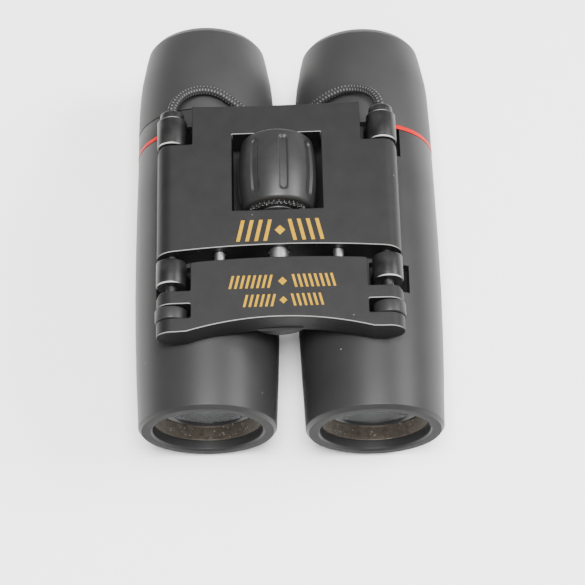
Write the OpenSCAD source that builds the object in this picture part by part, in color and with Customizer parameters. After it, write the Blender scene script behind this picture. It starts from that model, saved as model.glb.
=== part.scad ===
// Folding pocket binoculars with a double-hinged bridge.
// +Y points to the eyepieces, -Y to the objectives, +Z up, and the two
// barrels rest on the plane z = 0. All sizes are in millimetres.

/* [Barrels] */
// Distance between the two barrel axes as the glass stands folded
axis_spacing = 35.6; // [35:0.1:37]
// Largest outside radius of a barrel
barrel_r = 15.8; // [15.6:0.1:16]
// Radius of a barrel just behind the chamfer round its objective
rim_r = 14.85; // [14.6:0.05:15]
// Outside radius of the barrel beside the red ring
waist_r = 15.5; // [15.3:0.1:15.6]
// Front end of the left barrel, from the middle of the glass
left_hood_y = -46.4; // [-47.5:0.1:-45.5]
// Front end of the right barrel, from the middle of the glass
right_hood_y = -47.25; // [-47.5:0.05:-45.5]
// Rear end of both sliding barrels, where the red rings start
barrel_end_y = 18.4; // [18.2:0.1:18.6]
// Radius of the open mouth in front of an objective lens
mouth_r = 11.75; // [11.2:0.05:12]
// Depth of the mouth down to the threaded retaining ring
mouth_depth = 2.2; // [1.8:0.1:3]
// Clear radius of an objective lens
lens_clear_r = 10.5; // [9.5:0.1:10.8]

/* [Tubes] */
// Outside radius of an inner tube, which a barrel slides on
tube_r = 13.4; // [13.2:0.05:13.4]
// Wall thickness of an inner tube
tube_wall = 1.1; // [0.9:0.1:1.3]
// Front end of an inner tube
tube_front_y = -30; // [-31:0.5:-28]
// Gap all round between an inner tube and its barrel
slide_gap = 0.2; // [0.15:0.05:0.25]
// Width of a red ring along the barrel
red_ring_w = 1.1; // [0.8:0.1:1.3]

/* [Eyepieces] */
// Rear end of the left eyecup, with the focus of that eye turned out
left_cup_y = 47.25; // [46:0.05:47.5]
// Rear end of the right eyecup
right_cup_y = 45.9; // [45:0.1:47.5]
// Front edge of the left eyecup, which turns to set the eye's focus
left_cup_start_y = 24.1; // [24:0.1:25]
// Radius of the hollow in an eyecup
cup_mouth_r = 9.4; // [8.5:0.1:9.8]
// Depth of the hollow in an eyecup
cup_depth = 6.5; // [5.5:0.5:7.5]

/* [Bridge] */
// Distance from a barrel axis to its hinge rod
hinge_reach = 19.85; // [19.8:0.05:20.2]
// Lean of the left barrel's knuckles from upright
left_lean = 19.4; // [16:0.1:20]
// Lean of the right barrel's knuckles from upright
right_lean = 9.3; // [8:0.1:12]
// Half the thickness of the two bridge plates
plate_half = 3.5; // [3.3:0.1:3.6]
// Radius of the hinge knuckles of the inner tubes
knuckle_r = 3.2; // [3:0.1:3.3]
// Radius of the hinge knuckles of the sliding barrels
barrel_knuckle_r = 3.4; // [3.2:0.1:3.5]
// Radius of the two hinge rods
rod_r = 1.1; // [1:0.05:1.3]
// Half the width of the rear plate between its two notches
rear_waist_half = 18.1; // [18:0.1:19]
// Half the width of the front plate between its two pairs of notches
front_waist_half = 18.4; // [18:0.1:19]
// Rear edge of the rear plate at its corners
rear_plate_back_y = 20.6; // [20:0.1:21]
// Front edge of the rear plate at its middle
rear_plate_front_y = -13.25; // [-13.6:0.05:-13]
// Shoulder of the rear plate that faces the rear knuckles
rear_shoulder_y = 11.1; // [10.9:0.1:11.3]
// Gap between the two plates
plate_gap = 2.9; // [2.5:0.1:3.2]
// Front edge of the front plate at its middle
front_plate_front_y = -29.7; // [-30.2:0.1:-29.4]
// Play of a running fit, on the radius
running_gap = 0.05; // [0.03:0.01:0.08]

/* [Focus drive] */
// Radius of the focus knob at its middle
knob_r = 8.55; // [8.2:0.05:8.7]
// Front face of the knob's grip
knob_front_y = -4.3; // [-4.4:0.1:-3.8]
// Rear face of the knob's grip
knob_back_y = 12.15; // [11.8:0.05:12.2]
// Number of flutes round the grip
flute_count = 8; // [6:1:12]
// Number of teeth round the ring in front of the grip
tooth_count = 36; // [24:1:48]
// Radius of the focus screw
screw_r = 2; // [1.8:0.05:2.1]
// Width of the knob's window
window_w = 19.2; // [18.8:0.1:19.6]
// Front end of the knob's window
window_front_y = -5.15; // [-5.4:0.05:-5.1]
// Rear end of the knob's window
window_back_y = 13.25; // [13.2:0.05:13.6]
// Distance from the focus screw to a guide rod
guide_x = 12.5; // [12.3:0.1:13]

/* [Cord] */
// Diameter of the braided carrying cord
cord_d = 2.1; // [1.8:0.1:2.4]

/* [Hidden] */
$fn = 96;
// How far a cut runs past the face it starts from, and past the whole glass
overcut = 1;
clear_of_all = 60;
axis_x = axis_spacing / 2;
axis_z = barrel_r;
bore_r = tube_r + slide_gap;
tube_bore_r = tube_r - tube_wall;
seam_y = left_cup_start_y - 0.2;

// Outside of a barrel as [radius, y], from its rim back to the red ring
// The chamfer round the objective, as [drop from rim_r, distance]
CHAMFER_STATIONS = [[0.6, 0], [0, 0.8]];
BARREL_STATIONS = [
  [15.05, -40], [15.3, -35], [15.6, -26], [barrel_r, -16], [barrel_r, -4], [15.65, 8]
];

// Outside of an eyecup as [drop from the barrel's waist, distance to the rim]
CUP_STATIONS = [[0.35, 12.5], [1.1, 7], [2.1, 1.8], [2.75, 0.5], [3.5, 0]];

// The hinge rods, and the bridge that spans them
left_rod = [-axis_x - hinge_reach * sin(left_lean), axis_z + hinge_reach * cos(left_lean)];
right_rod = [axis_x + hinge_reach * sin(right_lean), axis_z + hinge_reach * cos(right_lean)];
bridge_mid = (left_rod + right_rod) / 2;
rod_half = norm(right_rod - left_rod) / 2;
bridge_tilt = atan2(right_rod[1] - left_rod[1], right_rod[0] - left_rod[0]);
side_centre = rod_half - 0.43;
plate_half_w = side_centre + plate_half;
front_plate_back_y = rear_plate_front_y - plate_gap;
rod_front_y = -31.6;
rod_back_y = 19.4;
barrel_gap = 0.35;
bore_run_out = 3.5;

// How far a plate's curved edges bow over the width between the rods
joint_bow = 1.05;
front_bow = 3.75;
front_flat_from = 19.6;
back_bow = 0.5;
edge_steps = 12;

// Stations of the knuckles along Y: [front, back]
rear_knuckle = [rear_shoulder_y + 0.75, 18.4];
rear_web = [12, 18.2];
front_knuckle = [-21.05, -15.5];
front_web = [-21, -17.4];
barrel_knuckle = [-29.2, -26.4];
barrel_knuckle_root = 0.8;
rear_slot_y = 11.5;
front_slot = [-21.2, -14.9];
first_notch_front_y = -23.3;
second_notch = [-29.4, -26.2];
web_half = 2.4;
web_root = 0.6;
web_top = 1.5;
slot_inboard = 3.1;
rear_slot_outboard = 5.2;
front_slot_outboard = 5.7;
slot_floor = 2.5;
red_gap = [6.5, 2.5];
strap_cap = [18.6, 20.4];
strap_cap_r = 2.6;
strap_cap_round = 0.6;

// Optics along Y
retainer_w = 3.7;
crown_w = 2.6;
lens_bulge = 1;
flint_w = 1.6;
seat_r = mouth_r - 0.4;
lens_r = seat_r - 0.05;
prism_cage = [-26, 0];
cage_end_wall = 2;
cage_window_r = 6;
prism_half = 6.8;
PENTA_OUTLINE = [[-23.8, -6.8], [-21.4, -6.8], [-9.4, 5.2], [-12.2, 6.8], [-23.8, 6.8]];
ROOF_OUTLINE = [[-20.9, -6.8], [-2.2, -6.8], [-2.2, 1.4], [-5.4, 6.8], [-7.3, 6.8]];
housing_front_y = 10;
housing_r = tube_bore_r - 0.1;
eye_lens_r = 8.5;
eye_clear_r = 7.2;
lens_lip = 0.8;
field_lens = [housing_front_y + 3, housing_front_y + 5];
eye_lens_w = 3;
grease_ring = [tube_front_y - 1.6, tube_front_y - 0.3];
grease_ring_w = 0.9;

// Focus drive
screw_front_y = -26;
screw_back_y = 17;
nut_r = 3.1;
nut = [-26.5, -17];
core_r = 4.2;
core_nose = 0.1;
flute_r = 1.3;
flute_lift = 0.65;
flute_margin = 1.5;
flute_turn = 11;
knob_crown = 0.9;
knob_corner = [0.6, 0.5];
crown_steps = 6;
tooth_root_r = 5.8;
tooth_tip_r = 6.3;
boss_r = 5.5;
boss = [front_plate_front_y - 0.6, front_plate_back_y - 0.3];
clip = [knob_back_y + 0.25, knob_back_y + 0.85];
clip_r = 3.3;
tooth_ring = [knob_front_y - 0.55, knob_front_y];
guide_r = 1.1;
guide = [-26, 3.5];

// Centre lines of the two hanging stretches of the cord, cap to hank
cord_r = cord_d / 2;
LEFT_ROUTE = [
  [-24.4, 20.4, 34.5], [-24.3, 22.0, 34.6], [-23.5, 23.9, 34.4], [-22.1, 25.8, 33.8],
  [-20.2, 27.1, 33.2], [-17.9, 27.7, 32.8], [-15.8, 27.5, 32.6], [-13.8, 26.8, 32.3],
  [-12.1, 25.8, 31.7], [-10.2, 24.6, 30.9], [-8.2, 23.5, 29.6], [-6.0, 22.9, 27.8],
  [-3.8, 22.9, 25.2], [-2.3, 23.2, 22.0], [-0.9, 23.7, 18.6], [-0.3, 24.4, 15.2],
  [-0.6, 25.0, 12.0], [-1.2, 25.0, 9.2], [-1.4, 24.3, 7.0], [-1.4, 23.2, 5.6]
];
RIGHT_ROUTE = [
  [21.0, 20.4, 35.4], [20.8, 21.9, 35.4], [20.1, 23.7, 35.0], [18.9, 25.3, 34.3],
  [17.3, 26.4, 33.6], [15.4, 27.0, 33.0], [13.2, 27.1, 32.6], [11.0, 26.6, 32.0],
  [8.8, 25.8, 31.0], [6.9, 25.1, 29.4], [5.2, 24.8, 27.2], [3.7, 25.1, 24.6],
  [2.1, 26.1, 21.6], [1.1, 27.3, 18.4], [0.4, 28.5, 15.2], [0.8, 29.3, 12.0],
  [2.0, 29.2, 9.2], [3.2, 28.6, 7.2], [3.8, 27.4, 5.6]
];

// The hank lies on the floor between the barrels: [half width, bottom, top]
hank = [-14, 38];
hank_mid_y = 12;
hank_steps = [[10, 0, 1.25], [9.1, 1.25, 2.45], [6.1, 2.45, 4.9]];

// ---------- frames ----------

// Side is -1 for the left barrel and 1 for the right one. In a barrel's own
// frame its axis is Y and its hinge rod stands straight above it.
module at_barrel(side) {
  lean = side < 0 ? -left_lean : right_lean;
  translate([side * axis_x, 0, axis_z]) rotate([0, lean, 0]) children();
}

// The bridge's own frame: the rods lie at x = +-rod_half, z = 0.
module at_bridge() {
  translate([bridge_mid[0], 0, bridge_mid[1]]) rotate([0, -bridge_tilt, 0]) children();
}

// ---------- shapes ----------

// A solid of revolution round Y, from a closed outline of [radius, y] points
module turned(outline) {
  rotate([-90, 0, 0]) rotate_extrude() polygon(outline);
}

// A round rod along Y
module rod(r, from_y, to_y) {
  translate([0, from_y, 0]) rotate([-90, 0, 0]) cylinder(r = r, h = to_y - from_y);
}

// A plain ring or sleeve along Y
module sleeve(outer_r, inner_r, from_y, to_y) {
  difference() {
    rod(outer_r, from_y, to_y);
    rod(inner_r, from_y - overcut, to_y + overcut);
  }
}

// A box given by its two opposite corners
module block(low, high) {
  translate(low) cube(high - low);
}

// A lens: a disc whose faces bulge outwards by the amounts given
module lens(radius, front_y, back_y, front_bulge, back_bulge) {
  steps = 8;
  front = [for (i = [0:steps]) [radius * i / steps, front_y - front_bulge * (1 - pow(i / steps, 2))]];
  back = [for (i = [steps:-1:0]) [radius * i / steps, back_y + back_bulge * (1 - pow(i / steps, 2))]];
  turned(concat(front, back));
}

// A hinge knuckle above a barrel axis, with a web that joins it to the tube
module knuckle(radius, span, web, root_z) {
  translate([0, 0, hinge_reach]) rod(radius, span[0], span[1]);
  block([-web_half, web[0], root_z], [web_half, web[1], hinge_reach - web_top]);
}

// A bore for the hinge rod above a barrel axis
module rod_bore(span) {
  translate([0, 0, hinge_reach]) rod(rod_r + running_gap, span[0] - overcut, span[1] + overcut);
}

// ---------- bridge ----------

// Points of a plate edge that bows by bow over the width between the rods,
// and that runs straight on outside flat_from
function bowed_edge(mid_y, bow, flat_from = clear_of_all) = [
  for (i = [-edge_steps:edge_steps])
    let (x = plate_half_w * i / edge_steps)
      [x, mid_y - bow * pow(min(abs(x), flat_from) / rod_half, 2)]
];
function reversed(list) = [for (i = [len(list) - 1:-1:0]) list[i]];

// The plates' rounded slab, cut to a plan outline
module slab(outline) {
  intersection() {
    translate([0, 0, -plate_half - overcut]) linear_extrude(2 * (plate_half + overcut)) polygon(outline);
    rotate([90, 0, 0]) linear_extrude(100, center = true) {
      square([2 * side_centre, 2 * plate_half], center = true);
      for (s = [-1, 1]) translate([s * side_centre, 0]) circle(r = plate_half);
    }
  }
}

// What the plates stay clear of: the barrels beneath them
module barrel_clearance() {
  for (side = [-1, 1]) at_barrel(side) rod(barrel_r + barrel_gap, -clear_of_all, clear_of_all);
}

// A notch in both sides of a plate, outside its waist
module side_notches(waist_half, from_y, to_y) {
  for (s = [-1, 1]) translate([s * (waist_half + clear_of_all), 0, 0])
    block([-clear_of_all, from_y, -clear_of_all], [clear_of_all, to_y, clear_of_all]);
}

module rear_bridge_plate() {
  color("#2b2b2b") difference() {
    at_bridge() difference() {
      slab(concat(
        bowed_edge(rear_plate_front_y, joint_bow),
        reversed(bowed_edge(rear_plate_back_y - back_bow, -back_bow))
      ));
      side_notches(rear_waist_half, rear_shoulder_y, clear_of_all);
      for (s = [-1, 1]) {
        translate([s * rod_half, 0, 0]) rod(rod_r, -clear_of_all, clear_of_all);
        translate([s * guide_x, 0, 0]) rod(guide_r + running_gap, -clear_of_all, guide[1] + 1);
      }
      block(
        [-window_w / 2, window_front_y, -plate_half - overcut],
        [window_w / 2, window_back_y, plate_half + overcut]
      );
      rod(screw_r + running_gap, -clear_of_all, screw_back_y + 0.2);
    }
    barrel_clearance();
  }
}

module hinge_rods() {
  color("silver") at_bridge()
    for (s = [-1, 1]) translate([s * rod_half, 0, 0]) rod(rod_r, rod_front_y, rod_back_y);
}

module strap_caps() {
  color("#1c1c1c") at_bridge() for (s = [-1, 1]) translate([s * rod_half, 0, 0]) difference() {
    turned([
      [0, strap_cap[0]], [strap_cap_r, strap_cap[0]],
      [strap_cap_r, strap_cap[1] - strap_cap_round], [strap_cap_r - strap_cap_round, strap_cap[1]],
      [0, strap_cap[1]]
    ]);
    rod(rod_r, strap_cap[0] - overcut, rod_back_y);
    rod(cord_r + running_gap, rod_back_y + 0.2, strap_cap[1] + overcut);
  }
}

module front_bridge_plate() {
  color("#2b2b2b") difference() {
    at_bridge() difference() {
      union() {
        slab(concat(
          bowed_edge(front_plate_front_y, front_bow, front_flat_from),
          reversed(bowed_edge(front_plate_back_y, joint_bow))
        ));
        intersection() {
          rod(boss_r, boss[0], boss[1]);
          block([-boss_r, boss[0], -boss_r], [boss_r, boss[1], 0]);
        }
      }
      side_notches(front_waist_half, first_notch_front_y, 0);
      side_notches(front_waist_half, second_notch[0], second_notch[1]);
      for (s = [-1, 1]) {
        translate([s * rod_half, 0, 0]) rod(rod_r + running_gap, rod_front_y - 0.3, 0);
        translate([s * guide_x, 0, 0]) rod(guide_r, guide[0], 0);
      }
      rod(nut_r, nut[0], 0);
    }
    barrel_clearance();
  }
}

module focus_nut() {
  color("goldenrod") at_bridge() sleeve(nut_r, screw_r + running_gap, nut[0], nut[1]);
}

module guide_rods() {
  color("silver") at_bridge()
    for (s = [-1, 1]) translate([s * guide_x, 0, 0]) rod(guide_r, guide[0], guide[1]);
}

// ---------- focus drive ----------

module knob_grip() {
  knob_mid_y = (knob_front_y + knob_back_y) / 2;
  crown_half = (knob_back_y - knob_front_y) / 2 - knob_corner[1];
  end_r = knob_r - knob_crown - knob_corner[0];
  color("#262626") at_bridge() difference() {
    turned(concat(
      [[0, knob_front_y], [end_r, knob_front_y]],
      [
        for (i = [-crown_steps:crown_steps]) let (t = i / crown_steps)
          [knob_r - knob_crown * t * t, knob_mid_y + crown_half * t]
      ],
      [[end_r, knob_back_y], [0, knob_back_y]]
    ));
    rod(core_r, knob_front_y - overcut, knob_back_y + overcut);
    for (i = [0:flute_count - 1]) rotate([0, flute_turn + 360 / flute_count * i, 0])
      translate([0, 0, knob_r + flute_lift])
        rod(flute_r, knob_front_y + flute_margin, knob_back_y - flute_margin);
  }
}

module knob_toothed_ring() {
  teeth = [
    for (i = [0:2 * tooth_count - 1])
      let (r = i % 2 == 0 ? tooth_tip_r : tooth_root_r, a = 180 / tooth_count * i)
        [r * cos(a), r * sin(a)]
  ];
  color("#606060") at_bridge() difference() {
    translate([0, tooth_ring[1], 0]) rotate([90, 0, 0])
      linear_extrude(tooth_ring[1] - tooth_ring[0]) polygon(teeth);
    rod(core_r, tooth_ring[0] - overcut, tooth_ring[1] + overcut);
  }
}

module knob_core() {
  color("goldenrod") at_bridge() sleeve(core_r, screw_r, tooth_ring[0] - core_nose, knob_back_y);
}

module focus_screw() {
  color("silver") at_bridge() rod(screw_r, screw_front_y, screw_back_y);
}

module screw_clip() {
  color("silver") at_bridge() sleeve(clip_r, screw_r, clip[0], clip[1]);
}

// ---------- inner tubes ----------

module inner_tube(side) {
  color("#202020") at_barrel(side) difference() {
    union() {
      rod(tube_r, tube_front_y, seam_y);
      knuckle(knuckle_r, rear_knuckle, rear_web, tube_r - web_root);
      knuckle(knuckle_r, front_knuckle, front_web, tube_r - web_root);
    }
    rod(tube_bore_r, tube_front_y - overcut, seam_y + overcut);
    rod_bore([front_knuckle[0], rear_knuckle[1]]);
  }
}

// The red ring is open on top, beneath the strap cap and the plate's corner
module red_ring(side) {
  color("#e8353a") at_barrel(side) difference() {
    sleeve(waist_r + 0.05, tube_r, barrel_end_y + 0.05, barrel_end_y + red_ring_w);
    top_block(side, red_gap, [barrel_end_y, seam_y]);
  }
}

module collar_sleeve(side) {
  color("#303030") at_barrel(side)
    sleeve(waist_r, tube_r, barrel_end_y + red_ring_w, seam_y);
}

module prism_cage(side) {
  pocket = prism_half + 0.2;
  color("#3a3a3a") at_barrel(side) difference() {
    rod(tube_bore_r, prism_cage[0], prism_cage[1]);
    block(
      [-pocket, prism_cage[0] + cage_end_wall, -pocket],
      [pocket, prism_cage[1] - cage_end_wall, pocket]
    );
    rod(cage_window_r, prism_cage[0] - overcut, prism_cage[1] + overcut);
  }
}

// A prism: an outline of [y, z] points carried across the tube
module prism(side, outline) {
  color("lightcyan") at_barrel(side) rotate([90, 0, 90])
    linear_extrude(2 * prism_half, center = true) polygon(outline);
}

module half_penta_prism(side) {
  prism(side, PENTA_OUTLINE);
}

module roof_prism(side) {
  prism(side, ROOF_OUTLINE);
}

// ---------- eyepieces ----------

module eyepiece_housing(side, cup_y) {
  back_y = cup_y - cup_depth;
  color("#222222") at_barrel(side) difference() {
    rod(housing_r, housing_front_y, back_y);
    rod(eye_lens_r, housing_front_y - overcut, back_y - lens_lip);
    rod(eye_clear_r, back_y - overcut, back_y + overcut);
  }
}

module field_lens(side) {
  color("lightcyan") at_barrel(side)
    lens(eye_lens_r, field_lens[0], field_lens[1], 0, lens_bulge);
}

module eye_lens(side, cup_y) {
  back_y = cup_y - cup_depth - lens_lip;
  color("lightcyan") at_barrel(side) lens(eye_lens_r, back_y - eye_lens_w, back_y, lens_bulge, 0);
}

// The rubber eyecup, from the seam at start_y to its soft rim at cup_y
module eyecup(side, start_y, cup_y) {
  inner_r = tube_bore_r - 0.05;
  color("#2e2e2e") at_barrel(side) difference() {
    turned(concat(
      [[0, start_y], [waist_r, start_y]],
      [for (station = CUP_STATIONS) [waist_r - station[0], cup_y - station[1]]],
      [[0, cup_y]]
    ));
    rod(inner_r, start_y - overcut, cup_y - cup_depth);
    if (side > 0) rod(tube_r, start_y - overcut, seam_y);
    rod(cup_mouth_r, cup_y - cup_depth - overcut, cup_y + overcut);
  }
}

// ---------- sliding barrels ----------

function retainer_y(hood_y) = hood_y + mouth_depth + retainer_w;

module barrel_shell(side, hood_y) {
  seat_y = retainer_y(hood_y) + crown_w + flint_w;
  color("#333333") at_barrel(side) difference() {
    union() {
      turned(concat(
        [[0, hood_y]],
        [for (station = CHAMFER_STATIONS) [rim_r - station[0], hood_y + station[1]]],
        BARREL_STATIONS,
        [[waist_r, barrel_end_y], [0, barrel_end_y]]
      ));
      knuckle(
        barrel_knuckle_r, barrel_knuckle, barrel_knuckle, barrel_r - barrel_knuckle_root
      );
    }
    rod(mouth_r, hood_y - overcut, hood_y + mouth_depth);
    rod(seat_r, hood_y, seat_y);
    rod(lens_clear_r, seat_y - overcut, 0);
    rod(bore_r, tube_front_y - bore_run_out, barrel_end_y + overcut);
    rod_bore(barrel_knuckle);
    top_block(side, [slot_inboard, rear_slot_outboard], [rear_slot_y, barrel_end_y + overcut]);
    top_block(side, [slot_inboard, front_slot_outboard], front_slot);
  }
}

// A block over the top of a barrel, as wide as [inboard, outboard] says. It
// cuts the slots that the inner tube's knuckles stand in.
module top_block(side, width, span) {
  low_x = side < 0 ? -width[1] : -width[0];
  high_x = side < 0 ? width[0] : width[1];
  block([low_x, span[0], bore_r - slot_floor], [high_x, span[1], barrel_r + overcut]);
}

module retaining_ring(side, hood_y) {
  color("#7a5a3c") at_barrel(side)
    sleeve(seat_r, lens_clear_r, hood_y + mouth_depth, retainer_y(hood_y));
}

module objective_crown(side, hood_y) {
  front_y = retainer_y(hood_y);
  color("lightcyan") at_barrel(side) union() {
    rod(lens_r, front_y, front_y + crown_w);
    lens(lens_clear_r - 0.1, front_y, front_y + 0.5, lens_bulge, 0);
  }
}

module objective_flint(side, hood_y) {
  front_y = retainer_y(hood_y) + crown_w;
  color("lightcyan") at_barrel(side) rod(lens_r, front_y, front_y + flint_w);
}

// The damping grease ring seated in a groove near the front of the inner tube
module grease_ring(side) {
  color("#111111") at_barrel(side)
    sleeve(bore_r, bore_r - grease_ring_w, grease_ring[0], grease_ring[1]);
}

// ---------- cord ----------

function unit(v) = v / norm(v);
function heading(path, i) = unit(path[min(i + 1, len(path) - 1)] - path[max(i - 1, 0)]);

// A tube of flat sides swept along a list of points. aside is any direction
// that the path never runs along.
module swept_tube(path, r, aside, sides = 8) {
  count = len(path);
  across = [for (i = [0:count - 1]) unit(cross(heading(path, i), aside))];
  points = [
    for (i = [0:count - 1])
      let (along = heading(path, i), u = across[i], v = cross(along, u))
        for (k = [0:sides - 1])
          let (a = 360 * k / sides) path[i] + r * (cos(a) * u + sin(a) * v)
  ];
  walls = [
    for (i = [0:count - 2]) for (k = [0:sides - 1]) let (n = (k + 1) % sides)
      [i * sides + k, i * sides + n, (i + 1) * sides + n, (i + 1) * sides + k]
  ];
  first_cap = [for (k = [sides - 1:-1:0]) k];
  last_cap = [for (k = [0:sides - 1]) (count - 1) * sides + k];
  polyhedron(points, concat(walls, [first_cap, last_cap]));
}

module neck_cord_left() {
  color("#1e1e1e") swept_tube(LEFT_ROUTE, cord_r, [1, -1, 1]);
}

module neck_cord_right() {
  color("#1e1e1e") swept_tube(RIGHT_ROUTE, cord_r, [1, 1, -1]);
}

module neck_cord_hank() {
  color("#1e1e1e") for (step = hank_steps) translate([0, 0, step[1]])
    linear_extrude(step[2] - step[1]) for (y = hank) {
      end_y = y < 0 ? y + step[0] : y - step[0];
      translate([0, end_y]) circle(r = step[0]);
      translate([-step[0], min(end_y, hank_mid_y)])
        square([2 * step[0], abs(end_y - hank_mid_y)]);
    }
}

// ---------- the glass ----------

rear_bridge_plate();
hinge_rods();
strap_caps();
knob_grip();
knob_toothed_ring();
knob_core();
focus_screw();
screw_clip();
front_bridge_plate();
focus_nut();
guide_rods();
inner_tube(-1);  // left_inner_tube
red_ring(-1);  // left_red_ring
collar_sleeve(-1);  // left_collar_sleeve
prism_cage(-1);  // left_prism_cage
roof_prism(-1);  // left_roof_prism
half_penta_prism(-1);  // left_half_penta_prism
eyepiece_housing(-1, left_cup_y);  // left_eyepiece_housing
field_lens(-1);  // left_field_lens
eye_lens(-1, left_cup_y);  // left_eye_lens
eyecup(-1, left_cup_start_y, left_cup_y);  // left_eyecup
barrel_shell(-1, left_hood_y);  // left_barrel_shell
objective_crown(-1, left_hood_y);  // left_objective_crown
objective_flint(-1, left_hood_y);  // left_objective_flint
retaining_ring(-1, left_hood_y);  // left_retaining_ring
grease_ring(-1);  // left_grease_ring
inner_tube(1);  // right_inner_tube
red_ring(1);  // right_red_ring
prism_cage(1);  // right_prism_cage
roof_prism(1);  // right_roof_prism
half_penta_prism(1);  // right_half_penta_prism
eyepiece_housing(1, right_cup_y);  // right_eyepiece_housing
field_lens(1);  // right_field_lens
eye_lens(1, right_cup_y);  // right_eye_lens
eyecup(1, barrel_end_y + red_ring_w, right_cup_y);  // right_eyecup
barrel_shell(1, right_hood_y);  // right_barrel_shell
objective_crown(1, right_hood_y);  // right_objective_crown
objective_flint(1, right_hood_y);  // right_objective_flint
retaining_ring(1, right_hood_y);  // right_retaining_ring
grease_ring(1);  // right_grease_ring
neck_cord_left();
neck_cord_right();
neck_cord_hank();
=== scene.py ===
"""Folding pocket binoculars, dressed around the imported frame, in metres.

The eyepieces point to +Y, the objectives to -Y, and the barrels lie on z = 0.
"""
import math

import bmesh
import bpy
import numpy as np
from mathutils import Matrix, Vector


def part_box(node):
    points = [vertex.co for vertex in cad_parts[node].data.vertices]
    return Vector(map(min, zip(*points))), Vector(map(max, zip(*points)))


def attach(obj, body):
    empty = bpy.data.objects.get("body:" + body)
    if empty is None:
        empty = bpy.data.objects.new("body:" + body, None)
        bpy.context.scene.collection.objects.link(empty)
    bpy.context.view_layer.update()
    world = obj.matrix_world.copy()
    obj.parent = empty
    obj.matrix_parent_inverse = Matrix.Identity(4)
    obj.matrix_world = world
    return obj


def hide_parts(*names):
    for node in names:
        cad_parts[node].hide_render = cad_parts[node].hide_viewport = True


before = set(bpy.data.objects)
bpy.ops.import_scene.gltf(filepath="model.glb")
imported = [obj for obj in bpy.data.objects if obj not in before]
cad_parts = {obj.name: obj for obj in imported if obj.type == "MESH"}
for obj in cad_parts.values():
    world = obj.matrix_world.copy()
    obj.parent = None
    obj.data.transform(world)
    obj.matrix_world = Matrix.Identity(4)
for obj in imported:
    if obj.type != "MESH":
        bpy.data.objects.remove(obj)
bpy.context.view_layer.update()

# ---------------------------------------------------------------- studio
# A white table top under soft overhead light. The camera looks down on the
# front of the glass from about 0.4 m, through a long lens.
MM = 0.001
sight = Vector((0.91, -7.16, 0)) * MM
camera_height = math.radians(65.75)
camera_side = math.radians(0.11)
camera_roll = math.radians(-1.51)
camera_distance = 414.6 * MM
away = Vector((
    math.cos(camera_height) * math.sin(camera_side),
    -math.cos(camera_height) * math.cos(camera_side),
    math.sin(camera_height),
))
level = Vector((math.cos(camera_side), math.sin(camera_side), 0))
upright = away.cross(level)
right_hand = math.cos(camera_roll) * level + math.sin(camera_roll) * upright
overhead = away.cross(right_hand)
camera = bpy.data.objects.new("camera", bpy.data.cameras.new("camera"))
camera.data.sensor_width = 36
camera.data.lens = 111.1
camera.data.clip_start = 0.01
turn = Matrix((right_hand, overhead, away)).transposed()
camera.matrix_world = Matrix.Translation(sight + away * camera_distance) @ turn.to_4x4()
bpy.context.scene.collection.objects.link(camera)
bpy.context.scene.camera = camera


def new_material(name, colour, roughness, metallic=0.0):
    """A plain finish to build on: its nodes, links and shader are returned with it."""
    material = bpy.data.materials.new(name)
    material.use_nodes = True
    nodes = material.node_tree.nodes
    shader = nodes["Principled BSDF"]
    shader.inputs["Base Color"].default_value = (*colour, 1)
    shader.inputs["Roughness"].default_value = roughness
    shader.inputs["Metallic"].default_value = metallic
    return material, nodes, material.node_tree.links, shader


def link_mesh(name, mesh):
    """A new object that shows a mesh."""
    piece = bpy.data.objects.new(name, mesh)
    bpy.context.scene.collection.objects.link(piece)
    return piece


table_top, nodes, links, shader = new_material("table_top", (0.93, 0.925, 0.92), 0.6)
shader.inputs["Specular IOR Level"].default_value = 0.2
table_mesh = bpy.data.meshes.new("table")
half_table = 2.5
table_mesh.from_pydata(
    [(x, y, 0) for x, y in ((-1, -1), (1, -1), (1, 1), (-1, 1))], [], [(0, 1, 2, 3)]
)
table_mesh.transform(Matrix.Scale(half_table, 4))
table = link_mesh("table", table_mesh)
table_mesh.materials.append(table_top)

world = bpy.data.worlds.new("room")
world.use_nodes = True
world.node_tree.nodes["Background"].inputs["Color"].default_value = (1, 0.995, 0.985, 1)
world.node_tree.nodes["Background"].inputs["Strength"].default_value = 0.43
bpy.context.scene.world = world


def soft_box(name, place, aim, size, power):
    """A square studio light that faces a point."""
    lamp = bpy.data.lights.new(name, "AREA")
    lamp.shape = "SQUARE"
    lamp.size = size
    lamp.energy = power
    stand = bpy.data.objects.new(name, lamp)
    stand.location = place
    stand.rotation_euler = (Vector(aim) - Vector(place)).to_track_quat("-Z", "Y").to_euler()
    bpy.context.scene.collection.objects.link(stand)


soft_box("overhead_light", (0.02, -0.15, 1.0), (0, 0, 0), 0.45, 30)
soft_box("right_light", (0.95, 0.1, 0.8), (0, 0, 0), 0.5, 23)
soft_box("front_light", (0.02, -0.6, 0.9), (0, 0, 0), 0.3, 4.5)

# ---------------------------------------------------------------- carrying cord
# One round braided nylon cord, 2.1 mm thick. Each end is held in the cap of a
# hinge rod. It loops over the eyecups, drops between the barrels, and its slack
# lies there on the table as a flat hank.
cord_r = 1.05 * MM
left_loop = [
    (-24.4, 20.4, 34.5), (-24.3, 22.0, 34.6), (-23.5, 23.9, 34.4), (-22.1, 25.8, 33.8),
    (-20.2, 27.1, 33.2), (-17.9, 27.7, 32.8), (-15.8, 27.5, 32.6), (-13.8, 26.8, 32.3),
    (-12.1, 25.8, 31.7), (-10.2, 24.6, 30.9), (-8.2, 23.5, 29.6), (-6.0, 22.9, 27.8),
    (-3.8, 22.9, 25.2), (-2.3, 23.2, 22.0), (-0.9, 23.7, 18.6), (-0.3, 24.4, 15.2),
    (-0.6, 25.0, 12.0), (-1.2, 25.0, 9.2), (-1.4, 24.3, 7.0), (-1.4, 23.2, 5.6),
]
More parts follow.
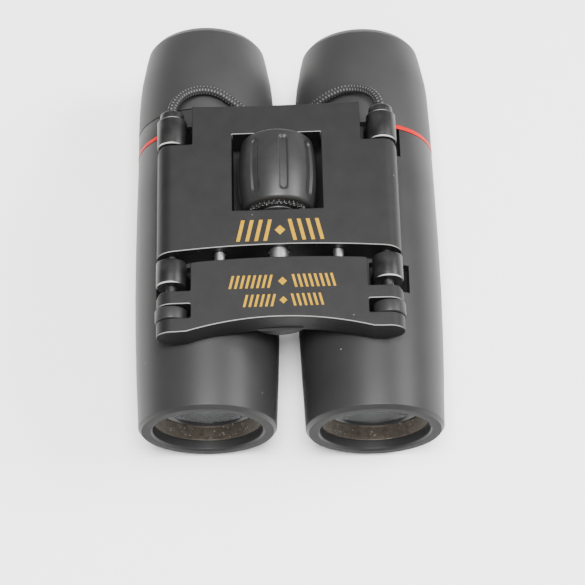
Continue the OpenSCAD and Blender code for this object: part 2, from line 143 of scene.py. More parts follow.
right_loop = [
    (21.0, 20.4, 35.4), (20.8, 21.9, 35.4), (20.1, 23.7, 35.0), (18.9, 25.3, 34.3),
    (17.3, 26.4, 33.6), (15.4, 27.0, 33.0), (13.2, 27.1, 32.6), (11.0, 26.6, 32.0),
    (8.8, 25.8, 31.0), (6.9, 25.1, 29.4), (5.2, 24.8, 27.2), (3.7, 25.1, 24.6),
    (2.1, 26.1, 21.6), (1.1, 27.3, 18.4), (0.4, 28.5, 15.2), (0.8, 29.3, 12.0),
    (2.0, 29.2, 9.2), (3.2, 28.6, 7.2), (3.8, 27.4, 5.6),
]
landing = [
    (-1.6, 20.6, 3.2), (-1.9, 17.0, 1.6), (-2.8, 13.0, 1.08), (-4.4, 8.0, 1.08),
    (-5.9, 2.0, 1.08),
]
lift = [(6.3, 18.0, 3.25), (5.7, 22.5, 3.8), (4.7, 25.6, 4.7)]
hank_front, hank_back = -4.0, 28.0


def half_turn(end_y, way, start, finish, widen=(0, 1), climb=(0, 1)):
    """Points round one end of the hank. start and finish are (radius, height) there.

    The radius changes over the part of the turn called widen, the height over climb."""
    points = []
    for k in range(17):
        part = k / 16
        wider = min(1, max(0, (part - widen[0]) / (widen[1] - widen[0])))
        higher = min(1, max(0, (part - climb[0]) / (climb[1] - climb[0])))
        radius = start[0] + (finish[0] - start[0]) * wider
        height = start[1] + (finish[1] - start[1]) * higher
        angle = math.pi * part
        across = -way * radius * math.cos(angle)
        points.append((across, end_y - way * radius * math.sin(angle), height))
    return points


inner, outer, upper = (6.4, 1.08), (8.85, 1.08), (6.4, 3.25)
turns = half_turn(hank_front, 1, inner, inner)
turns += half_turn(hank_back, -1, inner, outer, (0.45, 1))
turns += half_turn(hank_front, 1, outer, outer)
turns += half_turn(hank_back, -1, outer, upper, (0.35, 1), (0.08, 0.38))
turns += half_turn(hank_front, 1, upper, upper)
cord_points = left_loop + landing + turns + lift + right_loop[::-1]


def smooth_path(points, spacing):
    """A centripetal curve through the points, sampled at about even spacing."""
    p = np.array(points, float)
    p = np.vstack([2 * p[0] - p[1], p, 2 * p[-1] - p[-2]])
    samples = []
    for a, b, c, d in zip(p[:-3], p[1:-2], p[2:-1], p[3:]):
        knots = [0.0]
        for start, end in ((a, b), (b, c), (c, d)):
            knots.append(knots[-1] + max(np.linalg.norm(end - start), 1e-6) ** 0.5)
        t0, t1, t2, t3 = knots
        for t in np.linspace(t1, t2, 8, endpoint=False):
            ab = ((t1 - t) * a + (t - t0) * b) / (t1 - t0)
            bc = ((t2 - t) * b + (t - t1) * c) / (t2 - t1)
            cd = ((t3 - t) * c + (t - t2) * d) / (t3 - t2)
            abc = ((t2 - t) * ab + (t - t0) * bc) / (t2 - t0)
            bcd = ((t3 - t) * bc + (t - t1) * cd) / (t3 - t1)
            samples.append(((t2 - t) * abc + (t - t1) * bcd) / (t2 - t1))
    samples.append(p[-2])
    samples = np.array(samples)
    run = np.concatenate([[0], np.cumsum(np.linalg.norm(np.diff(samples, axis=0), axis=1))])
    stations = np.linspace(0, run[-1], max(2, round(run[-1] / spacing) + 1))
    return np.stack([np.interp(stations, run, samples[:, k]) for k in range(3)], 1), run[-1]


def carried_axes(path):
    """At each point of a path, two directions across it that don't twist along it."""
    along = np.gradient(path, axis=0)
    along /= np.linalg.norm(along, axis=1)[:, None]
    side = np.cross(along[0], (1, 0.3, 0.2))
    sides = []
    for direction in along:
        side = side - direction * (side @ direction)
        side /= np.linalg.norm(side)
        sides.append(side)
    sides = np.array(sides)
    return sides, np.cross(along, sides)


# The braid is drawn ring by ring; every stitch repeats after a few rings.
ring_step = 0.12
cord_line, cord_length = smooth_path(cord_points, ring_step)
sides, overs = carried_axes(cord_line)
ring_points = 28
plaits = 7
rings_per_stitch = 6
plait_depth = 0.1
vertices = []
for k, (middle, side, over) in enumerate(zip(cord_line, sides, overs)):
    for j in range(ring_points):
        angle = 2 * math.pi * j / ring_points
        slant = 2 * math.pi * (k / rings_per_stitch + 0.25 * abs(j % 4 - 1.5))
        weave = 0.5 * (math.cos(plaits * angle) + math.cos(slant))
        radius = cord_r / MM - plait_depth * (0.5 - 0.5 * weave)
        vertices.append(middle + radius * (math.cos(angle) * side + math.sin(angle) * over))
rings = len(cord_line)
faces = []
for i in range(rings - 1):
    near, far = i * ring_points, (i + 1) * ring_points
    for j in range(ring_points):
        n = (j + 1) % ring_points
        faces.append((near + j, near + n, far + n, far + j))
# Faces of each stitch that take a lighter colour: a painted highlight on the braid's stitches.
painted_stitch_highlight = [
    (i + (1, 0, 0, 1)[j % 4] + 3 * (j // 4 % 2)) % rings_per_stitch < 2 and j % 4 in (1, 2)
    for i in range(rings - 1) for j in range(ring_points)
] + [False, False]
faces.append(tuple(range(ring_points))[::-1])
faces.append(tuple((rings - 1) * ring_points + j for j in range(ring_points)))
cord_mesh = bpy.data.meshes.new("carrying_cord")
cord_mesh.from_pydata([Vector(v) * MM for v in vertices], [], faces)
cord_mesh.polygons.foreach_set("use_smooth", [True] * len(cord_mesh.polygons))
cord = link_mesh("carrying_cord", cord_mesh)
cord_mesh.polygons.foreach_set("material_index", [int(light) for light in painted_stitch_highlight])

braid, nodes, links, shader = new_material("black_braid", (0.012, 0.012, 0.012), 0.7)
shader.inputs["Specular IOR Level"].default_value = 0.2
place = nodes.new("ShaderNodeTexCoord")
flecks = nodes.new("ShaderNodeTexNoise")
flecks.inputs["Scale"].default_value = 2400
flecks.inputs["Detail"].default_value = 3
fleck_tone = nodes.new("ShaderNodeValToRGB")
fleck_tone.color_ramp.elements[0].position = 0.45
fleck_tone.color_ramp.elements[0].color = (0.012, 0.012, 0.013, 1)
fleck_tone.color_ramp.elements[1].position = 0.72
fleck_tone.color_ramp.elements[1].color = (0.02, 0.02, 0.02, 1)
links.new(place.outputs["Object"], flecks.inputs["Vector"])
links.new(flecks.outputs["Fac"], fleck_tone.inputs["Fac"])
links.new(fleck_tone.outputs["Color"], shader.inputs["Base Color"])
cord_mesh.materials.append(braid)
# The lighter colour of those faces: a painted highlight on the stitches.
braid_highlight, nodes, links, shader = new_material("painted_stitch_highlight", (0.075, 0.072, 0.068), 0.7)
cord_mesh.materials.append(braid_highlight)
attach(cord, "bridge")
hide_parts("neck_cord_left", "neck_cord_right", "neck_cord_hank")

# ---------------------------------------------------------------- bridge plates
# Two flat mouldings in fine-grained black plastic, both cut from the same slab
# section with round sides. The rear one holds the hinge rods and has the knob's
# window; the front one slides on the rods. Their rims that face forwards and up
# have a painted highlight.
rod_r = 1.1 * MM
rods_low, rods_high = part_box("hinge_rods")
left_rod = Vector((rods_low.x + rod_r, 0, rods_low.z + rod_r))
right_rod = Vector((rods_high.x - rod_r, 0, rods_high.z - rod_r))
rod_half = (right_rod - left_rod).length / 2
bridge_tilt = math.atan2(right_rod.z - left_rod.z, right_rod.x - left_rod.x)
bridge_frame = Matrix.Translation((left_rod + right_rod) / 2) @ Matrix.Rotation(-bridge_tilt, 4, "Y")
plate_half = 3.5 * MM
barrel_axis = {}
for side in ("left", "right"):
    low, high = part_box(f"{side}_retaining_ring")
    barrel_axis[side] = (low + high) / 2
    barrel_axis[side].y = 0


def rounded(outline, radius, steps=4):
    """A closed outline of (x, y) points with every corner turned to an arc.

    A third number in a point is that corner's own radius."""
    result = []
    count = len(outline)
    for k, corner in enumerate(outline):
        here = Vector(corner[:2])
        before, after = Vector(outline[k - 1][:2]), Vector(outline[(k + 1) % count][:2])
        want = corner[2] if len(corner) > 2 else radius
        back, ahead = (before - here), (after - here)
        room = 0.48 * min(back.length, ahead.length)
        back.normalize()
        ahead.normalize()
        bend = back.angle(ahead, math.pi)
        if want <= 0 or bend > math.radians(176):
            result.append(tuple(here))
            continue
        reach = min(want / math.tan(bend / 2), room)
        radius_here = reach * math.tan(bend / 2)
        centre = here + (back + ahead).normalized() * (radius_here / math.sin(bend / 2))
        first, last = here + back * reach - centre, here + ahead * reach - centre
        swing = math.atan2(first.x * last.y - first.y * last.x, first.dot(last))
        for step in range(steps + 1):
            angle = swing * step / steps
            c, s = math.cos(angle), math.sin(angle)
            x, y = c * first.x - s * first.y, s * first.x + c * first.y
            result.append((centre.x + x, centre.y + y))
    return result


def face_outwards(mesh):
    """Turns every face of a closed mesh to look outwards."""
    shape = bmesh.new()
    shape.from_mesh(mesh)
    bmesh.ops.recalc_face_normals(shape, faces=shape.faces)
    shape.to_mesh(mesh)
    shape.free()
    return mesh


def prism_mesh(name, outline, low, high, across="z"):
    """A solid with straight walls: an outline carried from low to high along Z or Y."""
    count = len(outline)
    points = [
        (u, v, w) if across == "z" else (u, w, v)
        for w in (low, high) for u, v in outline
    ]
    faces = [(k, (k + 1) % count, count + (k + 1) % count, count + k) for k in range(count)]
    faces += [tuple(range(count))[::-1], tuple(range(count, 2 * count))]
    mesh = bpy.data.meshes.new(name)
    mesh.from_pydata(points, [], faces)
    return face_outwards(mesh)


def box_mesh(name, low, high):
    """A plain block between two corners."""
    corners = [(low[0], low[1]), (high[0], low[1]), (high[0], high[1]), (low[0], high[1])]
    return prism_mesh(name, corners, low[2], high[2])


def carve(piece, tool_mesh, how="DIFFERENCE"):
    """Cuts, joins or keeps the overlap of a piece and a tool, for good."""
    tool = link_mesh("tool", tool_mesh)
    tool.matrix_world = piece.matrix_world
    change = piece.modifiers.new("carve", "BOOLEAN")
    change.operation = how
    change.solver = "EXACT"
    change.object = tool
    bpy.context.view_layer.update()
    settled = piece.evaluated_get(bpy.context.evaluated_depsgraph_get())
    done = bpy.data.meshes.new_from_object(settled)
    piece.modifiers.remove(change)
    piece.data = done
    bpy.data.objects.remove(tool)


def lathe_mesh(name, outline, steps=128):
    """A solid of revolution round Y, from a closed outline of (radius, y) points."""
    points, rings = [], []
    for radius, y in outline:
        if radius < 1e-9:
            rings.append([len(points)] * steps)
            points.append((0, y, 0))
            continue
        rings.append(list(range(len(points), len(points) + steps)))
        for k in range(steps):
            angle = 2 * math.pi * k / steps
            points.append((radius * math.cos(angle), y, radius * math.sin(angle)))
    faces = []
    for ring, following in zip(rings, rings[1:] + rings[:1]):
        if ring[0] == ring[1] and following[0] == following[1]:
            continue
        for k in range(steps):
            n = (k + 1) % steps
            face = []
            for corner in (ring[k], following[k], following[n], ring[n]):
                if corner not in face:
                    face.append(corner)
            faces.append(face)
    mesh = bpy.data.meshes.new(name)
    mesh.from_pydata(points, [], faces)
    return face_outwards(mesh)


def soften(piece, angle=35):
    """Smooth shading that keeps edges sharper than an angle."""
    piece.data.polygons.foreach_set("use_smooth", [True] * len(piece.data.polygons))
    piece.data.set_sharp_from_angle(angle=math.radians(angle))


def break_edges(piece, width, bevel_slot=0, angle=38, clamp=True):
    """Takes the sharp edges off a moulding, and gives the new faces the material in one slot; on the
    knob's teeth that is a painted highlight.
    """
    bevel = piece.modifiers.new("break_edges", "BEVEL")
    bevel.width = width
    bevel.segments = 2
    bevel.limit_method = "ANGLE"
    bevel.angle_limit = math.radians(angle)
    bevel.material = bevel_slot
    bevel.harden_normals = False
    bevel.miter_outer = "MITER_ARC"
    bevel.use_clamp_overlap = clamp
    soften(piece, 50)


def grain(nodes, links, shader, size, depth, tone=None, tone_size=None):
    """A fine grain of bumps, and a slow change of tone where two tones are given."""
    place = nodes.new("ShaderNodeTexCoord")
    fine = nodes.new("ShaderNodeTexNoise")
    fine.inputs["Scale"].default_value = size
    fine.inputs["Detail"].default_value = 4
    fine.inputs["Roughness"].default_value = 0.6
    bump = nodes.new("ShaderNodeBump")
    bump.inputs["Strength"].default_value = depth
    bump.inputs["Distance"].default_value = 0.00006
    links.new(place.outputs["Object"], fine.inputs["Vector"])
    links.new(fine.outputs["Fac"], bump.inputs["Height"])
    links.new(bump.outputs["Normal"], shader.inputs["Normal"])
    if tone:
        slow = nodes.new("ShaderNodeTexNoise")
        slow.inputs["Scale"].default_value = tone_size
        slow.inputs["Detail"].default_value = 5
        ramp = nodes.new("ShaderNodeValToRGB")
        ramp.color_ramp.elements[0].position = 0.3
        ramp.color_ramp.elements[1].position = 0.75
        ramp.color_ramp.elements[0].color = (*tone[0], 1)
        ramp.color_ramp.elements[1].color = (*tone[1], 1)
        links.new(place.outputs["Object"], slow.inputs["Vector"])
        links.new(slow.outputs["Fac"], ramp.inputs["Fac"])
        links.new(ramp.outputs["Color"], shader.inputs["Base Color"])


def lighten(nodes, links, shader, amount, colour):
    """Lays a colour over the finish by an amount from 0 to 1."""
    blend = nodes.new("ShaderNodeMix")
    blend.data_type = "RGBA"
    blend.inputs["B"].default_value = (*colour, 1)
    links.new(shader.inputs["Base Color"].links[0].from_socket, blend.inputs["A"])
    links.new(amount, blend.inputs["Factor"])
    links.new(blend.outputs["Result"], shader.inputs["Base Color"])


def arithmetic(nodes, links, operation, *values):
    """One step of arithmetic on numbers or on the outputs of other nodes, held to 0..1."""
    step = nodes.new("ShaderNodeMath")
    step.operation = operation
    step.use_clamp = operation != "MULTIPLY"
    for socket, value in zip(step.inputs, values):
        if isinstance(value, float):
            socket.default_value = value
        else:
            links.new(value, socket)
    return step.outputs["Value"]


def painted_rim_highlight(nodes, links, shader, colour, least=0.45, most=0.9):
    """Paints a highlight on the rims of a moulding that face both forwards and up."""
    place = nodes.new("ShaderNodeTexCoord")
    parts = nodes.new("ShaderNodeSeparateXYZ")
    links.new(place.outputs["Normal"], parts.inputs["Vector"])
    both = arithmetic(nodes, links, "MULTIPLY", parts.outputs["Y"], parts.outputs["Z"])
    rim = nodes.new("ShaderNodeMapRange")
    rim.inputs["From Min"].default_value = -0.5 * least
    rim.inputs["From Max"].default_value = -0.5 * most
    links.new(both, rim.inputs["Value"])
    lighten(nodes, links, shader, rim.outputs["Result"], colour)


def dust_and_glints(nodes, links, shader, cell, size, colour):
    """Scattered light specks: dust on the plates and barrels, and painted glints on the bronze ring.
    """
    place = nodes.new("ShaderNodeTexCoord")
    scatter = nodes.new("ShaderNodeTexVoronoi")
    scatter.inputs["Scale"].default_value = cell
    links.new(place.outputs["Object"], scatter.inputs["Vector"])
    amount = arithmetic(nodes, links, "LESS_THAN", scatter.outputs["Distance"], size)
    lighten(nodes, links, shader, amount, colour)


plate_black, nodes, links, shader = new_material("grained_plate_black", (0.014, 0.014, 0.014), 0.5)
grain(nodes, links, shader, 5200, 0.5, ((0.005, 0.005, 0.005), (0.008, 0.008, 0.008)), 260)
shader.inputs["Specular IOR Level"].default_value = 0.22
dust_and_glints(nodes, links, shader, 260, 0.035, (0.1, 0.1, 0.1))
# A painted highlight on the plate rims that face forwards and up.
painted_rim_highlight(nodes, links, shader, (0.2, 0.2, 0.195), 0.3, 0.8)

side_centre = rod_half - 0.43 * MM
side_arc = [
    (side_centre + plate_half * math.cos(a), plate_half * math.sin(a))
    for a in (math.radians(t) for t in range(-90, 91, 6))
]
slab_section = side_arc + [(-x, z) for x, z in side_arc[::-1]]
plate_w = side_centre + plate_half
rear_waist = 18.1 * MM
front_waist = 18.4 * MM


def bowed(mid_y, bow, low_x, high_x, flat_from=1.0):
    """A plate's edge: it bows by bow over the width between the rods, up to flat_from."""
    steps = 24
    xs = [low_x + (high_x - low_x) * k / steps for k in range(steps + 1)]
    return [(x, mid_y - bow * (min(abs(x), flat_from) / rod_half) ** 2, 0) for x in xs]


barrel_room_r = 16.2 * MM
cutter_reach = 60 * MM
plan_depth = 8 * MM


def plate(name, outline, bored):
    """A bridge plate: the slab section cut to a plan outline, clear of the barrels."""
    piece = link_mesh(name, prism_mesh(name, slab_section, -40 * MM, 40 * MM, "y"))
    plan = prism_mesh("plan", rounded(outline, 0.35 * MM), -plan_depth, plan_depth)
    carve(piece, plan, "INTERSECT")
    for cutter in bored:
        carve(piece, cutter)
    for side in ("left", "right"):
        clear = lathe_mesh("clear", [
            (0, -cutter_reach), (barrel_room_r, -cutter_reach), (barrel_room_r, cutter_reach),
            (0, cutter_reach),
        ])
        clear.transform(bridge_frame.inverted() @ Matrix.Translation(barrel_axis[side]))
        carve(piece, clear)
    piece.data.materials.clear()
    piece.data.materials.append(plate_black)
    piece.matrix_world = bridge_frame
    break_edges(piece, 0.14 * MM, clamp=False)
    return piece


shoulder_y = 11.1 * MM
rear_plan = (
    bowed(-13.25 * MM, 1.05 * MM, -plate_w, plate_w)
    + [(plate_w, shoulder_y, 1.6 * MM), (rear_waist, shoulder_y), (rear_waist, 20.6 * MM, 0.3 * MM)]
    + bowed(20.1 * MM, -0.5 * MM, rear_waist * 0.96, -rear_waist * 0.96)
    + [(-rear_waist, 20.6 * MM, 0.3 * MM), (-rear_waist, shoulder_y), (-plate_w, shoulder_y, 1.6 * MM)]
)
window_half_w, window_front, window_back = 9.6 * MM, -5.15 * MM, 13.25 * MM
window = box_mesh(
    "window", (-window_half_w, window_front, -plan_depth), (window_half_w, window_back, plan_depth)
)


def bore_mesh(x, radius, front_y, back_y):
    """A cutter for a round bore along a plate's own Y."""
    mesh = lathe_mesh("bore", [(0, front_y), (radius, front_y), (radius, back_y), (0, back_y)], 48)
    mesh.transform(Matrix.Translation((x, 0, 0)))
    return mesh


guide_x = 12.5 * MM
rear_bores = [bore_mesh(s * rod_half, rod_r, -20 * MM, 20 * MM) for s in (-1, 1)]
rear_bores += [bore_mesh(s * guide_x, 1.3 * MM, -20 * MM, 4.5 * MM) for s in (-1, 1)]
rear_bores.append(bore_mesh(0, 2.2 * MM, -20 * MM, 17.2 * MM))
rear_plate = plate("rear_plate", rear_plan, [window] + rear_bores)
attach(rear_plate, "bridge")
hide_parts("rear_bridge_plate")

first_notch_y = -23.3 * MM
notch_back, notch_front = -26.2 * MM, -29.4 * MM
half_plan = [
    (plate_w, notch_front), (front_waist, notch_front), (front_waist, notch_back),
    (plate_w, notch_back, 0.3 * MM), (plate_w, first_notch_y, 1.5 * MM), (front_waist, first_notch_y),
    (front_waist, -16.95 * MM, 0.4 * MM),
]
front_plan = (
    bowed(-29.7 * MM, 3.75 * MM, -plate_w, plate_w, 19.6 * MM) + half_plan
    + bowed(-16.15 * MM, 1.05 * MM, front_waist * 0.95, -front_waist * 0.95)
    + [(-point[0], *point[1:]) for point in half_plan[::-1]]
)
nut_r, nut_seat_y = 3.1 * MM, -26.5 * MM
front_bores = [bore_mesh(s * rod_half, 1.2 * MM, -31.9 * MM, 0) for s in (-1, 1)]
front_bores.append(bore_mesh(0, nut_r, nut_seat_y, 0))
front_plate = plate("front_plate", front_plan, front_bores)
boss_r, boss_front_y, boss_back_y = 5.5 * MM, -30.3 * MM, -16.45 * MM
boss = link_mesh("front_plate_boss", lathe_mesh("boss", rounded([
    (0, boss_front_y, 0), (boss_r, boss_front_y), (boss_r, boss_back_y),
    (nut_r, boss_back_y, 0), (nut_r, nut_seat_y, 0), (0, nut_seat_y, 0),
], 0.5 * MM)))
carve(boss, box_mesh("below", (-8 * MM, -40 * MM, -8 * MM), (8 * MM, 0, -2.6 * MM)), "INTERSECT")
boss.data.materials.clear()
boss.data.materials.append(plate_black)
boss.matrix_world = bridge_frame
soften(boss)
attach(front_plate, "front_bridge")
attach(boss, "front_bridge")
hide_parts("front_bridge_plate")

# Gold marks printed on the plates: a row of slanted strokes on either side of
# a diamond on the rear plate, and two finer rows of the same on the front one.
gold, nodes, links, shader = new_material("gold_print", (0.5, 0.3, 0.045), 0.6)
grain(nodes, links, shader, 3000, 0.3, ((0.29, 0.16, 0.002), (0.36, 0.205, 0.004)), 900)
shader.inputs["Specular IOR Level"].default_value = 0.1


def printed(name, marks, body):
    """Flat printed marks, each an outline in the plate's own plan."""
    sunk, proud = 0.01 * MM, 0.03 * MM
    joined = bmesh.new()
    for outline in marks:
        joined.from_mesh(prism_mesh("mark", outline, plate_half - sunk, plate_half + proud))
    mesh = bpy.data.meshes.new(name)
    joined.to_mesh(mesh)
    joined.free()
    mesh.materials.append(gold)
    piece = link_mesh(name, mesh)
    piece.matrix_world = bridge_frame
    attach(piece, body)
    return piece


def slanted(x, y, width, height, slant):
    """A slanted stroke: slant is how far its top stands to the right of its foot."""
    corners = (
        (-width - slant, -height), (width - slant, -height),
        (width + slant, height), (slant - width, height),
    )
    return [((x + 0.5 * u) * MM, (y + 0.5 * v) * MM) for u, v in corners]


def diamond(x, y, half):
    """A small diamond."""
    return [(u * MM, v * MM) for u, v in ((x - half, y), (x, y - half), (x + half, y), (x, y + half))]


def mark_row(count, first, second, y, pitch, stroke, middle):
    """Strokes leaning in from both sides of a diamond: first and second are where they start."""
    width, height, slant = stroke
    row = [slanted(first + pitch * k, y, width, height, slant) for k in range(count)]
    row.append(diamond(middle[0], y, middle[1]))
    return row + [slanted(second + pitch * k, y, width, height, -slant) for k in range(count)]


large = mark_row(4, -7.9, 3.0, -10.0, 1.9, (0.75, 4.9, 1.1), (0.4, 1.1))
printed("rear_plate_marks", large, "bridge")
small = mark_row(8, -9.9, 3.2, -21.8, 1.14, (0.5, 2.9, 0.7), (0.7, 0.9))
small += mark_row(6, -7.0, 2.9, -26.1, 1.14, (0.48, 2.7, 0.65), (0.8, 0.8))
printed("front_plate_marks", small, "front_bridge")

# ---------------------------------------------------------------- rods and caps
# Blackened hinge rods, ground steel guide rods and focus screw, and a brass
# nut. Black caps on the rear ends of the hinge rods hold the ends of the cord.
steel, nodes, links, shader = new_material("ground_steel", (0.3, 0.3, 0.31), 0.45, 1.0)
grain(nodes, links, shader, 2600, 0.3, ((0.22, 0.22, 0.225), (0.36, 0.36, 0.365)), 700)
brass, nodes, links, shader = new_material("turned_brass", (0.62, 0.47, 0.2), 0.3, 1.0)
grain(nodes, links, shader, 2600, 0.2, ((0.5, 0.36, 0.14), (0.68, 0.52, 0.24)), 500)


def finish_cad(finish, *names):
    """Gives CAD pieces that are shown as they are a finish."""
    for name in names:
        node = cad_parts[name]
        node.data.materials.clear()
        node.data.materials.append(finish)


blackened, nodes, links, shader = new_material("blackened_steel", (0.02, 0.02, 0.02), 0.5, 0.6)
grain(nodes, links, shader, 2600, 0.2, ((0.012, 0.012, 0.012), (0.03, 0.03, 0.03)), 700)
finish_cad(steel, "guide_rods", "focus_screw", "screw_clip", "knob_core")
finish_cad(blackened, "hinge_rods")
finish_cad(brass, "focus_nut")

gloss_black, nodes, links, shader = new_material("satin_hinge_black", (0.01, 0.01, 0.01), 0.36)
grain(nodes, links, shader, 4200, 0.5, ((0.005, 0.005, 0.005), (0.016, 0.016, 0.016)), 420)
shader.inputs["Specular IOR Level"].default_value = 0.24
# A painted highlight on the rims of the caps and knuckles that face forwards and up.
painted_rim_highlight(nodes, links, shader, (0.4, 0.4, 0.39))

cap_r, cap_front, cap_back = 2.6 * MM, 18.6 * MM, 20.4 * MM
for name, rod in (("left_strap_cap", left_rod), ("right_strap_cap", right_rod)):
    cap = link_mesh(name, lathe_mesh(name, rounded([
        (rod_r, cap_front, 0), (cap_r, cap_front, 0.1 * MM), (cap_r, cap_back, 0.55 * MM),
        (rod_r, cap_back, 0.1 * MM),
    ], 0.2 * MM), 64))
    cap.data.materials.append(gloss_black)
    cap.matrix_world = Matrix.Translation(rod)
    soften(cap)
    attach(cap, "bridge")
    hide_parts("strap_caps")

# ---------------------------------------------------------------- focus knob
# A barrel-shaped black knob with eight shallow flutes, moulded round a steel
# core. The ring of teeth in front of it has a painted highlight on its edges.
knob_r = 8.55 * MM
knob_front, knob_back = (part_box("knob_grip")[k].y for k in (0, 1))
knob_mid = (knob_front + knob_back) / 2
knob_half = (knob_back - knob_front) / 2
knob_crown = 0.9 * MM
knob_shoulder = 0.6 * MM
flutes = 8
flute_half_w = 1.12 * MM
flute_half_l = 6.6 * MM
flute_depth = 0.42 * MM
flute_start = math.radians(79)


def knob_radius(y):
    """The knob's outline: fullest in the middle, with round shoulders."""
    part = (y - knob_mid) / knob_half
    shoulder = max(0.0, abs(part) - 0.92) / 0.08
    drop = 1 - math.sqrt(max(0.0, 1 - shoulder * shoulder))
    return knob_r - knob_crown * part * part - knob_shoulder * drop


knob_around, knob_along = 384, 72
pitch = 2 * math.pi / flutes
wall_w = 0.55 * MM
knob_steps = [knob_mid - knob_half * math.cos(math.pi * k / knob_along) for k in range(knob_along + 1)]
points = []
for y in knob_steps:
    radius = knob_radius(y)
    for k in range(knob_around):
        angle = 2 * math.pi * k / knob_around
        off = (angle - flute_start + pitch / 2) % pitch - pitch / 2
        reach = math.hypot(radius * off, max(0.0, abs(y - knob_mid) - flute_half_l + flute_half_w))
        edge = min(1.0, max(0.0, (flute_half_w - reach) / wall_w))
        depth = flute_depth * edge * edge * (3 - 2 * edge)
        points.append(((radius - depth) * math.cos(angle), y, (radius - depth) * math.sin(angle)))
faces = []
for i in range(knob_along):
    near, far = i * knob_around, (i + 1) * knob_around
    for k in range(knob_around):
        n = (k + 1) % knob_around
        faces.append((near + k, near + n, far + n, far + k))
hub_r = 4.2 * MM
for y in (knob_front, knob_back):
    for k in range(knob_around):
        angle = 2 * math.pi * k / knob_around
        points.append((hub_r * math.cos(angle), y, hub_r * math.sin(angle)))
last_ring = knob_along * knob_around
front_hub, back_hub = last_ring + knob_around, last_ring + 2 * knob_around
for k in range(knob_around):
    n = (k + 1) % knob_around
    faces.append((n, k, front_hub + k, front_hub + n))
    faces.append((last_ring + k, last_ring + n, back_hub + n, back_hub + k))
    faces.append((front_hub + k, back_hub + k, back_hub + n, front_hub + n))
knob_mesh = bpy.data.meshes.new("focus_knob")
knob_mesh.from_pydata(points, [], faces)
knob = link_mesh("focus_knob", face_outwards(knob_mesh))
knob.matrix_world = bridge_frame
knob_black, nodes, links, shader = new_material("knob_black", (0.025, 0.025, 0.026), 0.42)
grain(nodes, links, shader, 3600, 0.3, ((0.011, 0.011, 0.011), (0.016, 0.016, 0.016)), 300)
shader.inputs["Specular IOR Level"].default_value = 0.33
knob.data.materials.append(knob_black)
soften(knob, 40)
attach(knob, "focus_drive")
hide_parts("knob_grip")

tooth_count = 36
tooth_outline = []
for k in range(tooth_count):
    for part, radius in ((0, 5.6), (0.3, 5.6), (0.55, 6.3), (0.7, 6.3)):
        angle = 2 * math.pi * (k + part) / tooth_count
        x, z = radius * MM * math.cos(angle), radius * MM * math.sin(angle)
        tooth_outline.append((x, z))
tooth_front = knob_front - 0.55 * MM
teeth_mesh = prism_mesh("knob_teeth", tooth_outline, tooth_front, knob_front, "y")
teeth = link_mesh("knob_teeth", teeth_mesh)
carve(teeth, bore_mesh(0, hub_r, -10 * MM, 10 * MM))
teeth.matrix_world = bridge_frame
tooth_black, nodes, links, shader = new_material("blackened_teeth", (0.015, 0.015, 0.015), 0.4, 0.5)
grain(nodes, links, shader, 2500, 0.3, ((0.01, 0.01, 0.01), (0.025, 0.025, 0.025)), 600)
# A light grey for the bevelled edges of the teeth: a painted highlight.
tooth_highlight, nodes, links, shader = new_material("painted_highlight_tooth_edges", (0.75, 0.75, 0.73), 0.35, 0.3)
grain(nodes, links, shader, 2500, 0.2, ((0.65, 0.65, 0.64), (0.85, 0.85, 0.84)), 900)
teeth.data.materials.clear()
teeth.data.materials.append(tooth_black)
teeth.data.materials.append(tooth_highlight)
# Slot 1 puts that painted highlight on every bevelled edge of the teeth.
break_edges(teeth, 0.13 * MM, 1, 45)
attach(teeth, "focus_drive")
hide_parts("knob_toothed_ring")

# ---------------------------------------------------------------- inner tubes
# A black moulded tube in each barrel. Its two hinge knuckles stand up through
# the slots in the barrel and turn on the hinge rod.
barrel_frame = {}
for side, rod in (("left", left_rod), ("right", right_rod)):
    lean = math.atan2(rod.x - barrel_axis[side].x, rod.z - barrel_axis[side].z)
    barrel_frame[side] = Matrix.Translation(barrel_axis[side]) @ Matrix.Rotation(lean, 4, "Y")
hinge_reach = (left_rod - barrel_axis["left"]).length
tube_r = 13.4 * MM
tube_bore = 12.3 * MM
tube_front, tube_back = -30 * MM, 23.9 * MM
tube_black, nodes, links, shader = new_material("dull_tube_black", (0.006, 0.006, 0.006), 0.65)
shader.inputs["Specular IOR Level"].default_value = 0.15
grain(nodes, links, shader, 3000, 0.4, ((0.004, 0.004, 0.004), (0.008, 0.008, 0.008)), 300)
knuckle_r = 3.2 * MM


def knuckle(name, radius, span, web, root_z, finish, body, frame_here):
    """A hinge knuckle with round edges on a web that runs down to its tube."""
    barrel = lathe_mesh(name, rounded([
        (rod_r + 0.05 * MM, span[0]), (radius, span[0], 0.35 * MM),
        (radius, span[1], 0.35 * MM), (rod_r + 0.05 * MM, span[1])
    ], 0.12 * MM), 64)
    barrel.transform(Matrix.Translation((0, 0, hinge_reach)))
    piece = link_mesh(name, barrel)
    web_half, top_z = 2.4 * MM, hinge_reach - 1.8 * MM
    foot = prism_mesh("foot", [
        (-web_half, root_z), (web_half, root_z), (web_half, top_z), (-web_half, top_z)
    ], web[0], web[1], "y")
    carve(piece, foot, "UNION")
    piece.data.materials.clear()
    piece.data.materials.append(finish)
    piece.matrix_world = frame_here
    break_edges(piece, 0.1 * MM)
    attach(piece, body)
    return piece


